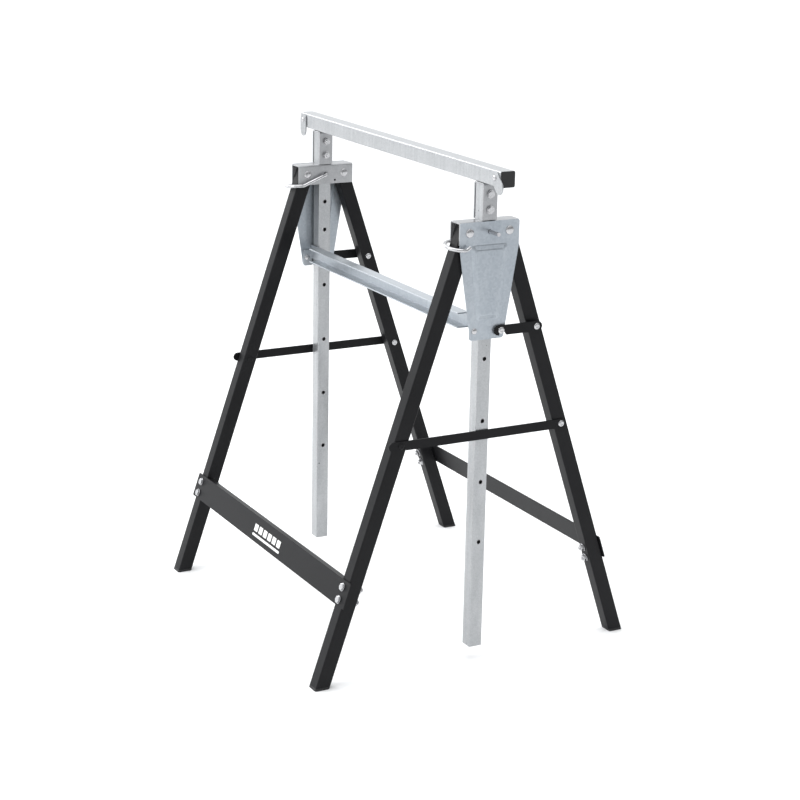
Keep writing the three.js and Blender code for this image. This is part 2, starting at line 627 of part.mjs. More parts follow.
// ---------------------------------------------------------------- straps that hold the legs open
// Slope that the notch's rear side needs for the stud to leave it while the legs fold
function notchSlope(height, ratio, width, studAt) {
  const down = legDown(height);
  const from = (lean) => [
    LEG_PIVOT_OFFSET + down * Math.sin(lean),
    PIVOT_HEIGHT - down * Math.cos(lean),
  ];
  const seen = (fold) => {
    const [pivotY, pivotZ] = from(SPLAY - fold);
    const [studY, studZ] = studAt(from, fold);
    const turn = fold * (1 + ratio);
    const y = studY - pivotY;
    const z = studZ - pivotZ;
    return [y * Math.cos(turn) - z * Math.sin(turn), y * Math.sin(turn) + z * Math.cos(turn)];
  };
  const [restY, restZ] = seen(0);
  let slope = 0;
  for (let step = 1; step <= 60; step += 1) {
    const [y, z] = seen((THREE.MathUtils.degToRad(FOLD_DEG) * step) / 60);
    const drop = restZ - z;
    if (drop < width / 2 + SMALL_HOLE) slope = Math.max(slope, (y - restY) / drop);
  }
  return slope + NOTCH_EASE;
}

// Bar outline in Y-Z from its pivot toward -Y, with a notch open downward over the stud
function strapShape(pivotY, studY, z, width, overhang, slope) {
  const half = width / 2;
  const tip = studY - overhang;
  const seat = SMALL_HOLE / 2;
  const lean = seat * Math.hypot(1, slope);
  const below = half + 3;
  return [
    roundedOutline([
      [tip, z - half, half - 0.01],
      [tip, z + half, half - 0.01],
      [pivotY + half + 2, z + half, half - 0.01],
      [pivotY + half + 2, z - half, half - 0.01],
    ]),
    roundedOutline([
      [studY - seat, z - below, 0],
      [studY + lean + slope * below, z - below, 0],
      [studY + lean - slope * seat, z + seat, seat - 0.02],
      [studY - seat, z + seat, seat - 0.02],
    ]),
  ];
}

for (const [name, side] of SIDES) {
  const spreaderPivot = legReach(SPREADER_HEIGHT);
  const [bar, notch] = strapShape(
    spreaderPivot, -spreaderPivot, SPREADER_HEIGHT, SPREADER_WIDTH, SPREADER_OVERHANG,
    notchSlope(SPREADER_HEIGHT, SPREADER_RATIO, SPREADER_WIDTH, (from, fold) => {
      const [y, z] = from(SPLAY - fold);
      return [-y, z];
    }));
  addPiece(`spreader_bar_${name}`, cut(solid(sheetAcrossX(bar, side, STRAP_IN, STRAP_OUT)), [
    solid(sheetAcrossX(notch, side, STRAP_IN - 1, STRAP_OUT + 1)),
    drillX(SMALL_HOLE, side * (STRAP_IN - 1), side * (STRAP_OUT + 1), spreaderPivot, SPREADER_HEIGHT),
  ]), COLOURS.black, 0.3);

  const hookPivot = legReach(LATCH_HEIGHT);
  const [hook, mouth] = strapShape(
    hookPivot, LATCH_STUD_OFFSET, LATCH_HEIGHT, LATCH_WIDTH, LATCH_OVERHANG,
    notchSlope(LATCH_HEIGHT, LATCH_RATIO, LATCH_WIDTH, () => [LATCH_STUD_OFFSET, LATCH_HEIGHT]));
  addPiece(`latch_hook_${name}`, cut(solid(sheetAcrossX(hook, side, LATCH_IN, LATCH_OUT)), [
    solid(sheetAcrossX(mouth, side, LATCH_IN - 1, LATCH_OUT + 1)),
    drillX(SMALL_HOLE, side * (LATCH_IN - 1), side * (LATCH_OUT + 1), hookPivot, LATCH_HEIGHT),
  ]), COLOURS.black, 0.3);
}

// ---------------------------------------------------------------- beam, saddles and posts
{
  const length = BEAM_LENGTH - 2 * (CAP_RISE + GAP);
  const tube = squareTube(BEAM_TUBE, TUBE_WALL, TUBE_RADIUS, length);
  tube.translate(0, 0, -length / 2);
  tube.rotateY(Math.PI / 2);
  tube.translate(0, 0, TOP_HEIGHT - BEAM_TUBE / 2);
  const stopHeight = TOP_HEIGHT - STOP_WIDTH / 2 - 1;
  addPiece('beam', cut(solid(tube), SIDES.map(([, side]) => drillY(
    5 + HOLE_PLAY, -BEAM_TUBE / 2 - 2, -BEAM_TUBE / 2 + TUBE_WALL + 2, side * STOP_STATION, stopHeight))),
  COLOURS.galvanised, 0.9);

  for (const [name, side] of SIDES) {
    const end = BEAM_LENGTH / 2;
    const insertSize = BEAM_TUBE - 2 * TUBE_WALL - 2 * GAP;
    const capBody = (size, radius, inner, outer) => {
      const geometry = extrude(roundedRect(size, size, radius), outer - inner, 2);
      geometry.rotateY(Math.PI / 2);
      geometry.translate(side > 0 ? inner : -outer, 0, TOP_HEIGHT - BEAM_TUBE / 2);
      return solid(geometry);
    };
    addPiece(`beam_cap_${name}`, cut(join([
      capBody(BEAM_TUBE - 2 * CAP_INSET, TUBE_RADIUS, end - CAP_RISE, end),
      capBody(insertSize, 1.2, end - CAP_RISE - GAP - CAP_PLUG, end - CAP_RISE / 2),
    ]), [
      capBody(insertSize - 2 * PLUG_WALL, 0.8, end - CAP_RISE - GAP - CAP_PLUG - 5, end - CAP_RISE),
    ]), COLOURS.plastic, 0);

    // Edge stop: strip turned about its rivet, the right one swung outward
    const turn = side > 0 ? STOP_TURN : 0;
    const strip = roundedRect(STOP_WIDTH, STOP_LENGTH, STOP_WIDTH / 2 - 0.01, 0, -STOP_REACH / 2);
    const hole = new THREE.Path();
    hole.absarc(0, 0, (5 + HOLE_PLAY) / 2, 0, 2 * Math.PI, true);
    strip.holes.push(hole);
    const plate = sheetAcrossY(strip, -BEAM_TUBE / 2 - GAP, STOP_SHEET, 7);
    plate.rotateY(-turn);
    plate.translate(side * STOP_STATION, 0, stopHeight);
    addPiece(`edge_stop_${name}`, solid(plate), COLOURS.galvanised, 0.9);

    const seat = -BEAM_TUBE / 2 - 2 * GAP - STOP_SHEET;
    const rivet = new THREE.LatheGeometry([
      new THREE.Vector2(0, seat - 1.8),
      new THREE.Vector2(3, seat - 1.4),
      new THREE.Vector2(4.2, seat - 0.5),
      new THREE.Vector2(4.2, seat),
      new THREE.Vector2(2.5, seat),
      new THREE.Vector2(2.5, -BEAM_TUBE / 2 + TUBE_WALL + GAP),
      new THREE.Vector2(3.8, -BEAM_TUBE / 2 + TUBE_WALL + GAP),
      new THREE.Vector2(2.6, -BEAM_TUBE / 2 + TUBE_WALL + 1.9),
      new THREE.Vector2(0, -BEAM_TUBE / 2 + TUBE_WALL + 2.3),
    ], 12);
    rivet.translate(side * STOP_STATION, 0, stopHeight);
    addPiece(`edge_stop_rivet_${name}`, solid(rivet), COLOURS.zinc, 1);

    // Saddle straddling the post, under the beam
    const inner = POST_TUBE / 2 + GAP;
    const outer = inner + SADDLE_WALL;
    const top = BEAM_BOTTOM - GAP;
    const saddle = sheetAcrossY(roundedOutline([
      [-outer, SADDLE_BOTTOM, 0],
      [-inner, SADDLE_BOTTOM, 0],
      [-inner, top - SADDLE_WALL, 0.4],
      [inner, top - SADDLE_WALL, 0.4],
      [inner, SADDLE_BOTTOM, 0],
      [outer, SADDLE_BOTTOM, 0],
      [outer, top, 3.5],
      [-outer, top, 3.5],
    ]), SADDLE_WIDTH / 2, SADDLE_WIDTH);
    saddle.translate(side * STATION, 0, 0);
    const saddleBolts = [BEAM_BOTTOM - 17, BEAM_BOTTOM - 41];
    const across = [side * (STATION - outer - 1), side * (STATION + outer + 1)];
    addPiece(`saddle_${name}`, cut(solid(saddle),
      saddleBolts.map((z) => drillX(BOLT_HOLE, ...across, 0, z))), COLOURS.galvanised, 0.9);

    saddleBolts.forEach((z, i) => {
      const bolt = placed(
        boltBody(2 * (outer + GAP)),
        new THREE.Vector3(side * (STATION + outer + GAP), 0, z),
        new THREE.Vector3(-side, 0, 0),
      );
      addPiece(`saddle_bolt_${name}_${i + 1}`, bolt, COLOURS.zinc, 1);
    });

    // Post with the row of height holes
    const postTop = top - SADDLE_WALL - GAP;
    const post = squareTube(POST_TUBE, TUBE_WALL, 2, postTop - POST_BOTTOM);
    post.translate(side * STATION, 0, POST_BOTTOM);
    const span = [side * (STATION - POST_TUBE / 2 - 1), side * (STATION + POST_TUBE / 2 + 1)];
    const holes = saddleBolts.map((z) => drillX(BOLT_HOLE, ...span, 0, z));
    for (let k = 0; k < POST_HOLE_COUNT; k += 1) {
      holes.push(drillX(POST_HOLE, ...span, 0, PIVOT_HEIGHT - k * POST_HOLE_PITCH));
    }
    holes.push(drillX(POST_HOLE, ...span, 0, PIVOT_HEIGHT - POST_HOLE_PITCH / 2));
    addPiece(`post_${name}`, cut(solid(post), holes), COLOURS.galvanised, 0.9);
  }
}

// ---------------------------------------------------------------- wire locking pins
for (const [name, side] of SIDES) {
  const drop = THREE.MathUtils.degToRad(WIRE_DROP_DEG);
  const innerArm = STATION - HEAD_OUTER / 2 - 6.2;
  const outerArm = GUSSET_OUT + 6.2;
  const bow = (outerArm - innerArm) / 2;
  const middle = (outerArm + innerArm) / 2;
  const bend = 5;
  const armY = (run) => -run * Math.cos(drop);
  const armZ = (run) => PIVOT_HEIGHT - run * Math.sin(drop);
  const points = [];
  const shankEnd = STATION - POST_TUBE / 2 - GAP;
  points.push([shankEnd, 0, PIVOT_HEIGHT]);
  for (let k = 0; k <= 4; k += 1) {
    const a = (k * Math.PI) / 8;
    const run = bend * (1 - Math.cos(a));
    points.push([innerArm + bend * (1 - Math.sin(a)), armY(run), armZ(run)]);
  }
  points.push([innerArm, armY(WIRE_ARM * 0.6), armZ(WIRE_ARM * 0.6)]);
  for (let k = 0; k <= 12; k += 1) {
    const a = (k * Math.PI) / 12;
    const run = WIRE_ARM + bow * Math.sin(a);
    points.push([middle - bow * Math.cos(a), armY(run), armZ(WIRE_ARM) - BOW_DROP * Math.sin(a / 2) ** 2]);
  }
  points.push([outerArm, armY(WIRE_ARM - 4), armZ(WIRE_ARM) - BOW_DROP * 0.85]);
  points.push([outerArm, armY(WIRE_ARM - 9), armZ(WIRE_ARM) - BOW_DROP * 0.35]);
  const path = new THREE.CatmullRomCurve3(
    points.map(([x, y, z]) => new THREE.Vector3(side * x, y, z)), false, 'centripetal');
  const section = new THREE.Shape();
  section.absarc(0, 0, WIRE / 2, 0, 2 * Math.PI, false);
  const wire = new THREE.ExtrudeGeometry(section, { extrudePath: path, steps: 40, curveSegments: 5 });
  addPiece(`locking_pin_${name}`, solid(wire), COLOURS.zinc, 1);

  addPiece(`locking_pin_tip_${name}`, turnedX([
    [STATION + POST_TUBE / 2 + GAP, 0],
    [STATION + POST_TUBE / 2 + GAP, WIRE / 2],
    [GUSSET_OUT + PIN_TIP_OUT - 1.2, WIRE / 2],
    [GUSSET_OUT + PIN_TIP_OUT, WIRE / 2 - 1.2],
    [GUSSET_OUT + PIN_TIP_OUT, 0],
  ], side, 0, PIVOT_HEIGHT), COLOURS.zinc, 1);
}

export default model;
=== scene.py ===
# Folding sawhorse: two splayed leg frames, telescoping posts and an adjustable crossbeam.
# Metres, +Z up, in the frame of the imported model.
import json
import math

import bmesh
import bpy
from mathutils import Matrix, Vector


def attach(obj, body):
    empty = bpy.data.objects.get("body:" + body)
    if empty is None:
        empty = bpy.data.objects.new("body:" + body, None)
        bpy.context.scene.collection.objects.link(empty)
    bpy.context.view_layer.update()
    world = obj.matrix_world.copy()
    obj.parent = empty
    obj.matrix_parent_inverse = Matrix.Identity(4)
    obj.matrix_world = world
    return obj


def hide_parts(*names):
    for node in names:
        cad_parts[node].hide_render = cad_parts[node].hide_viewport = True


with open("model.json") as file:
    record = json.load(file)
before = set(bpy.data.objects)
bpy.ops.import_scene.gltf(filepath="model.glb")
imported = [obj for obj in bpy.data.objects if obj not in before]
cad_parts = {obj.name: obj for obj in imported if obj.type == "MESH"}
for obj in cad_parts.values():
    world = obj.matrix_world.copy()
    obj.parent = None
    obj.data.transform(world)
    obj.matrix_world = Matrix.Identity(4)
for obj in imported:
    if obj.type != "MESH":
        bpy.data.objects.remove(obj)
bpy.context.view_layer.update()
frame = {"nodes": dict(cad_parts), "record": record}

# ------------------------------------------------------------------ camera
# Stands to the right of the wide rail, a little above the beam, and looks at the middle of the
# stand along one leg frame. A long lens keeps the posts near upright.
SENSOR_WIDTH, FRAME_WIDTH, FOCAL_LENGTH = 36.0, 800.0, 1937.2
aim = Vector((0.1274, -0.0596, 0.400))
stand_off = 3.119
azimuth, elevation, roll = (math.radians(a) for a in (61.419, 16.203, 1.119))
back = Vector((math.sin(azimuth) * math.cos(elevation),
               -math.cos(azimuth) * math.cos(elevation), math.sin(elevation)))
level = Vector((math.cos(azimuth), math.sin(azimuth), 0.0))
upright = back.cross(level)
right = math.cos(roll) * level + math.sin(roll) * upright
top = -math.sin(roll) * level + math.cos(roll) * upright
camera = bpy.data.objects.new("camera", bpy.data.cameras.new("camera"))
bpy.context.scene.collection.objects.link(camera)
camera.data.sensor_width = SENSOR_WIDTH
camera.data.lens = SENSOR_WIDTH * FOCAL_LENGTH / FRAME_WIDTH
camera.data.clip_end = 60.0
camera.matrix_world = Matrix.Translation(aim + stand_off * back) @ Matrix(
    (right, top, back)).transposed().to_4x4()
bpy.context.scene.camera = camera

# ------------------------------------------------------------------ floor and light
# A pale studio sweep and three broad soft panels, high in front, from the left and overhead. The
# room around them is brighter from the upper left, so bare metal also has dark to mirror.
floor_mesh = bpy.data.meshes.new("studio_floor")
floor_mesh.from_pydata([(-30, -30, 0), (30, -30, 0), (30, 30, 0), (-30, 30, 0)], [], [(0, 1, 2, 3)])
floor = bpy.data.objects.new("studio_floor", floor_mesh)
bpy.context.scene.collection.objects.link(floor)
paper = bpy.data.materials.new("studio_paper")
paper.use_nodes = True
paper.node_tree.nodes["Principled BSDF"].inputs["Base Color"].default_value = (0.9, 0.9, 0.9, 1)
paper.node_tree.nodes["Principled BSDF"].inputs["Roughness"].default_value = 0.9
paper.node_tree.nodes["Principled BSDF"].inputs["Specular IOR Level"].default_value = 0.1
floor_mesh.materials.append(paper)

world = bpy.data.worlds.new("studio")
bpy.context.scene.world = world
world.use_nodes = True
room = world.node_tree.nodes["Background"]
ray = world.node_tree.nodes.new("ShaderNodeTexCoord")
toward_light = world.node_tree.nodes.new("ShaderNodeVectorMath")
toward_light.operation = "DOT_PRODUCT"
toward_light.inputs[1].default_value = (-0.55, -0.25, 0.80)
glow = world.node_tree.nodes.new("ShaderNodeMapRange")
glow.inputs["From Min"].default_value = -0.7
glow.inputs["From Max"].default_value = 0.95
glow.inputs["To Min"].default_value = 0.12
glow.inputs["To Max"].default_value = 1.6
world.node_tree.links.new(ray.outputs["Generated"], toward_light.inputs[0])
world.node_tree.links.new(toward_light.outputs["Value"], glow.inputs["Value"])
world.node_tree.links.new(glow.outputs["Result"], room.inputs["Strength"])
room.inputs["Color"].default_value = (0.97, 0.985, 1.0, 1)
bpy.context.scene.view_settings.view_transform = "Standard"

for name, place, look, size, watts in (
    ("front_panel", (-0.6, -3.8, 3.2), (0, 0, 0.4), 1.6, 75),
    ("left_panel", (-3.6, -1.6, 2.4), (0, 0, 0.4), 2.0, 55),
    ("top_panel", (0.2, 0.2, 4.2), (0, 0, 0), 2.6, 35),
):
    lamp = bpy.data.objects.new(name, bpy.data.lights.new(name, "AREA"))
    bpy.context.scene.collection.objects.link(lamp)
    lamp.data.shape = "SQUARE"
    lamp.data.size = size
    lamp.data.energy = watts
    lamp.location = place
    lamp.rotation_euler = (Vector(look) - Vector(place)).to_track_quat("-Z", "Y").to_euler()

# ------------------------------------------------------------------ heads
# Short inverted channels bent from galvanised steel, open at both ends, that hold the leg
# pivots and let the post slide through. The sheet keeps its zinc spangle, its edges are eased.
SIDES = ("left", "right")
ENDS = ("front", "rear")
nodes = frame["nodes"]
bodies = frame["record"]["behaviour"]["bodies"]
body_of_node = {node: body for body, members in bodies.items() for node in members}


def shader_group(name, inputs, outputs):
    group = bpy.data.node_groups.new(name, "ShaderNodeTree")
    for label, kind, value in inputs:
        socket = group.interface.new_socket(label, in_out="INPUT", socket_type=kind)
        socket.default_value = value
    for label, kind in outputs:
        group.interface.new_socket(label, in_out="OUTPUT", socket_type=kind)
    return group, group.nodes.new("NodeGroupInput"), group.nodes.new("NodeGroupOutput")


spangle, given, made = shader_group(
    "zinc_spangle",
    [("Grain", "NodeSocketFloat", 120.0), ("Streak", "NodeSocketFloat", 18.0)],
    [("Tone", "NodeSocketFloat"), ("Height", "NodeSocketFloat")],
)
place = spangle.nodes.new("ShaderNodeTexCoord")
crystal = spangle.nodes.new("ShaderNodeTexVoronoi")
crystal.feature = "F1"
crystal.inputs["Randomness"].default_value = 1.0
warp = spangle.nodes.new("ShaderNodeTexNoise")
warp.inputs["Detail"].default_value = 5.0
stretch = spangle.nodes.new("ShaderNodeMapping")
stretch.inputs["Scale"].default_value = (3.0, 1.0, 0.3)
grey = spangle.nodes.new("ShaderNodeSeparateColor")
blend = spangle.nodes.new("ShaderNodeMix")
blend.inputs["Factor"].default_value = 0.75
spangle.links.new(place.outputs["Object"], crystal.inputs["Vector"])
spangle.links.new(given.outputs["Grain"], crystal.inputs["Scale"])
spangle.links.new(place.outputs["Object"], stretch.inputs["Vector"])
spangle.links.new(stretch.outputs["Vector"], warp.inputs["Vector"])
spangle.links.new(given.outputs["Streak"], warp.inputs["Scale"])
spangle.links.new(crystal.outputs["Color"], grey.inputs["Color"])
spangle.links.new(grey.outputs["Red"], blend.inputs["A"])
spangle.links.new(warp.outputs["Fac"], blend.inputs["B"])
spangle.links.new(blend.outputs["Result"], made.inputs["Tone"])
spangle.links.new(grey.outputs["Green"], made.inputs["Height"])


def zinc_coat(name, deep, pale, grain, streak, smooth, dull, lift, metal=0.62):
    """Galvanised steel: two tones of zinc through the spangle, sheen from smooth to dull."""
    coat = bpy.data.materials.new(name)
    coat.use_nodes = True
    tree = coat.node_tree
    shader = tree.nodes["Principled BSDF"]
    shader.inputs["Metallic"].default_value = metal
    pattern = tree.nodes.new("ShaderNodeGroup")
    pattern.node_tree = spangle
    pattern.inputs["Grain"].default_value = grain
    pattern.inputs["Streak"].default_value = streak
    tone = tree.nodes.new("ShaderNodeValToRGB")
    tone.color_ramp.elements[0].position = 0.25
    tone.color_ramp.elements[0].color = (*deep, 1)
    tone.color_ramp.elements[1].position = 0.75
    tone.color_ramp.elements[1].color = (*pale, 1)
    sheen = tree.nodes.new("ShaderNodeMapRange")
    sheen.inputs["To Min"].default_value = smooth
    sheen.inputs["To Max"].default_value = dull
    relief = tree.nodes.new("ShaderNodeBump")
    relief.inputs["Strength"].default_value = 0.06
    relief.inputs["Distance"].default_value = lift
    tree.links.new(pattern.outputs["Tone"], tone.inputs["Fac"])
    tree.links.new(tone.outputs["Color"], shader.inputs["Base Color"])
    tree.links.new(pattern.outputs["Tone"], sheen.inputs["Value"])
    tree.links.new(sheen.outputs["Result"], shader.inputs["Roughness"])
    tree.links.new(pattern.outputs["Height"], relief.inputs["Height"])
    tree.links.new(relief.outputs["Normal"], shader.inputs["Normal"])
    return coat


def settled(piece):
    """The piece's modifiers worked into a plain mesh."""
    bpy.context.view_layer.update()
    graph = bpy.context.evaluated_depsgraph_get()
    mesh = bpy.data.meshes.new_from_object(
        piece.evaluated_get(graph), preserve_all_data_layers=True, depsgraph=graph)
    piece.modifiers.clear()
    piece.data = mesh
    return piece


def eased(node, radius, material, rounds=2, crease=32, pressed=None):
    """Stands for a CAD node with its edges eased by a small radius, as sheet and tube have."""
    mesh = nodes[node].data.copy()
    shape = bmesh.new()
    shape.from_mesh(mesh)
    bmesh.ops.remove_doubles(shape, verts=shape.verts, dist=2e-6)
    bmesh.ops.dissolve_limit(shape, angle_limit=math.radians(1.2), verts=shape.verts,
                             edges=shape.edges, delimit={"NORMAL"})
    if pressed:
        pressed(shape)
    for face in shape.faces:
        face.smooth = True
    shape.to_mesh(mesh)
    shape.free()
    mesh.materials.clear()
    mesh.materials.append(material)
    piece = bpy.data.objects.new(node + "_made", mesh)
    bpy.context.scene.collection.objects.link(piece)
    edge = piece.modifiers.new("eased", "BEVEL")
    edge.width = radius
    edge.segments = rounds
    edge.limit_method = "ANGLE"
    edge.angle_limit = math.radians(crease)
    even = piece.modifiers.new("even_faces", "WEIGHTED_NORMAL")
    even.weight = 100
    settled(piece)
    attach(piece, body_of_node[node])
    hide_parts(node)
    return piece


head_zinc = zinc_coat("head_zinc", (0.33, 0.335, 0.345), (0.43, 0.435, 0.445),
                      520, 60, 0.26, 0.40, 0.0001)
for side in SIDES:
    eased(f"head_{side}", 0.0004, head_zinc)

# ------------------------------------------------------------------ gussets
# Tapered steel plates riveted outside each head. A raised panel is pressed into each so that
# the thin sheet resists twisting, and the zinc on them has a cooler, bluer cast.
gusset_zinc = zinc_coat("gusset_zinc", (0.30, 0.335, 0.375), (0.42, 0.455, 0.49),
                        300, 16, 0.24, 0.36, 0.0001)
RIM_DROP = 0.0010
CAD_STEP, NEAR = 0.0005, 0.0001
FACE_INSET, BROW_INSET, FOOT_INSET = 0.0085, 0.0065, 0.0015
BROW_DEPTH, FOOT_DEPTH = 0.0004, 0.00155


def press_panel(shape):
    """Draws the plate's rim in and the panel's flanks out, so that the pressing is soft."""
    top = max(abs(v.co.x) for v in shape.verts)
    raised = [v for v in shape.verts if top - abs(v.co.x) < NEAR]
    mid_y = sum(v.co.y for v in raised) / len(raised)
    mid_z = (max(v.co.z for v in raised) + min(v.co.z for v in raised)) / 2
    half_z = max(v.co.z for v in raised) - mid_z
    half_y = max(abs(v.co.y - mid_y) for v in raised)
    face = {id(v) for v in raised}
    for v in shape.verts:
        sunk = top - abs(v.co.x)
        hand = 1 if v.co.x > 0 else -1
        if id(v) in face:
            inset, level = FACE_INSET, 0.0
        elif abs(sunk - CAD_STEP) < NEAR:
            outer = abs(v.co.z - mid_z) > half_z + 3 * NEAR or any(
                abs(top - abs(e.other_vert(v).co.x) - 2 * CAD_STEP) < NEAR for e in v.link_edges)
            inset, level = (FOOT_INSET, FOOT_DEPTH) if outer else (BROW_INSET, BROW_DEPTH)
        elif abs(sunk - 2 * CAD_STEP) < NEAR:
            inset, level = 0.0, 2 * CAD_STEP + RIM_DROP
        else:
            continue
        v.co.y -= inset * (v.co.y - mid_y) / half_y
        v.co.z -= inset * (v.co.z - mid_z) / half_z
        v.co.x = hand * (top - level)


for side in SIDES:
    eased(f"gusset_{side}", 0.0006, gusset_zinc, crease=6, pressed=press_panel)

# ------------------------------------------------------------------ crossbar
# A galvanised channel across the front of the posts that ties the two gussets together. Its
# flanges are cut back at the legs, and the web's ends are bent into riveted ears.
crossbar_zinc = zinc_coat("crossbar_zinc", (0.36, 0.39, 0.42), (0.45, 0.48, 0.51),
                          480, 50, 0.26, 0.42, 0.0001)
eased("crossbar", 0.0004, crossbar_zinc)

# ------------------------------------------------------------------ legs, rails and straps
# Square steel tube and folded sheet in black powder coat: a satin film with a fine orange
# peel, its tone and sheen a little cloudy from one hand's breadth to the next.


def powder_coat(name, deep, worn, fleck, dull):
    coat = bpy.data.materials.new(name)
    coat.use_nodes = True
    tree = coat.node_tree
    shader = tree.nodes["Principled BSDF"]
    shader.inputs["Specular IOR Level"].default_value = 0.14
    place = tree.nodes.new("ShaderNodeTexCoord")
    peel = tree.nodes.new("ShaderNodeTexNoise")
    peel.inputs["Scale"].default_value = fleck
    peel.inputs["Detail"].default_value = 2.0
    haze = tree.nodes.new("ShaderNodeTexNoise")
    haze.inputs["Scale"].default_value = 14.0
    haze.inputs["Detail"].default_value = 4.0
    tone = tree.nodes.new("ShaderNodeValToRGB")
    tone.color_ramp.elements[0].position = 0.3
    tone.color_ramp.elements[0].color = (*deep, 1)
    tone.color_ramp.elements[1].position = 0.8
    tone.color_ramp.elements[1].color = (*worn, 1)
    sheen = tree.nodes.new("ShaderNodeMapRange")
    sheen.inputs["To Min"].default_value = dull - 0.07
    sheen.inputs["To Max"].default_value = dull + 0.07
    relief = tree.nodes.new("ShaderNodeBump")
    relief.inputs["Strength"].default_value = 0.15
    relief.inputs["Distance"].default_value = 0.0002
    tree.links.new(place.outputs["Object"], peel.inputs["Vector"])
    tree.links.new(place.outputs["Object"], haze.inputs["Vector"])
    tree.links.new(haze.outputs["Fac"], tone.inputs["Fac"])
    tree.links.new(tone.outputs["Color"], shader.inputs["Base Color"])
    tree.links.new(haze.outputs["Fac"], sheen.inputs["Value"])
    tree.links.new(sheen.outputs["Result"], shader.inputs["Roughness"])
    tree.links.new(peel.outputs["Fac"], relief.inputs["Height"])
    tree.links.new(relief.outputs["Normal"], shader.inputs["Normal"])
    return coat


leg_black = powder_coat("leg_black", (0.007, 0.007, 0.008), (0.012, 0.012, 0.013), 1600, 0.42)
rail_black = powder_coat("rail_black", (0.008, 0.008, 0.009), (0.013, 0.013, 0.014), 1400, 0.42)
strap_black = powder_coat("strap_black", (0.006, 0.006, 0.007), (0.010, 0.010, 0.011), 1800, 0.45)
for end in ENDS:
    for side in SIDES:
        eased(f"{end}_leg_{side}", 0.0005, leg_black)
    eased(f"{end}_rail", 0.0005, rail_black)
for side in SIDES:
    eased(f"spreader_bar_{side}", 0.0004, strap_black)
    eased(f"latch_hook_{side}", 0.0004, strap_black)

# ------------------------------------------------------------------ painted mark
# A plain printed mark on the front rail, a bar with a row of blocks over it. Thick white screen
# ink that stands a tenth of a millimetre proud of the powder coat.
ink = bpy.data.materials.new("white_ink")
ink.use_nodes = True
ink_shader = ink.node_tree.nodes["Principled BSDF"]
ink_shader.inputs["Roughness"].default_value = 0.55
ink_shader.inputs["Specular IOR Level"].default_value = 0.3
mottle = ink.node_tree.nodes.new("ShaderNodeTexNoise")
mottle.inputs["Scale"].default_value = 260.0
spots = ink.node_tree.nodes.new("ShaderNodeTexCoord")
film = ink.node_tree.nodes.new("ShaderNodeValToRGB")
film.color_ramp.elements[0].color = (0.70, 0.70, 0.69, 1)
film.color_ramp.elements[1].color = (0.84, 0.84, 0.83, 1)
ink.node_tree.links.new(spots.outputs["Object"], mottle.inputs["Vector"])
ink.node_tree.links.new(mottle.outputs["Fac"], film.inputs["Fac"])
ink.node_tree.links.new(film.outputs["Color"], ink_shader.inputs["Base Color"])
LEG_LEAN = math.radians(18.78)
PIVOT_HEIGHT, PIVOT_FORWARD = 0.701, 0.035
OUTLINE_STEPS = 24
BAR_START, BAR_END, BAR_UPPER, BAR_LOWER = -0.050, 0.054, 0.5935, 0.5975
BLOCKS, BLOCK_START, BLOCK_PITCH, BLOCK_WIDE = 6, -0.049, 0.0175, 0.0130
BLOCK_UPPER, BLOCK_LOWER = 0.5775, 0.5895
rail_normal = Vector((0, -math.cos(LEG_LEAN), math.sin(LEG_LEAN)))
rail_down = Vector((0, -math.sin(LEG_LEAN), -math.cos(LEG_LEAN)))
rail_face = max(v.co.dot(rail_normal) for v in nodes["front_rail"].data.vertices)
pivot_line = Vector((0, -PIVOT_FORWARD, PIVOT_HEIGHT))
mark_origin = pivot_line + rail_normal * (rail_face - pivot_line.dot(rail_normal))
printed = bmesh.new()


def ink_block(start, end, upper, lower, radius=0.0012, film_thick=0.0001):
    """A rounded patch of ink from start to end along the rail, upper to lower down it."""
    outline = []
    for k in range(OUTLINE_STEPS):
        a = 2 * math.pi * (k + 0.5) / OUTLINE_STEPS
        across = (end - radius if math.cos(a) > 0 else start + radius) + radius * math.cos(a)
        down = (lower - radius if math.sin(a) > 0 else upper + radius) + radius * math.sin(a)
        outline.append(mark_origin + rail_down * down + Vector((across, 0, 0)))
    low = [printed.verts.new(p - rail_normal * film_thick) for p in outline]
    high = [printed.verts.new(p + rail_normal * film_thick) for p in outline]
    printed.faces.new(high)
    printed.faces.new(low[::-1])
    for k in range(OUTLINE_STEPS):
        after = (k + 1) % OUTLINE_STEPS
        printed.faces.new((low[k], low[after], high[after], high[k]))


ink_block(BAR_START, BAR_END, BAR_UPPER, BAR_LOWER)
for k in range(BLOCKS):
    start = BLOCK_START + BLOCK_PITCH * k
    ink_block(start, start + BLOCK_WIDE, BLOCK_UPPER, BLOCK_LOWER)
bmesh.ops.recalc_face_normals(printed, faces=printed.faces)
mark_mesh = bpy.data.meshes.new("rail_mark")
printed.to_mesh(mark_mesh)
printed.free()
mark_mesh.materials.append(ink)
mark = bpy.data.objects.new("rail_mark", mark_mesh)
bpy.context.scene.collection.objects.link(mark)
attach(mark, "front_legs")

# ------------------------------------------------------------------ foot plugs and beam caps
# Black polyethylene mouldings pushed into the open tube ends: flat soles under the legs and
# square caps on the beam, matt with a faint moulded texture.


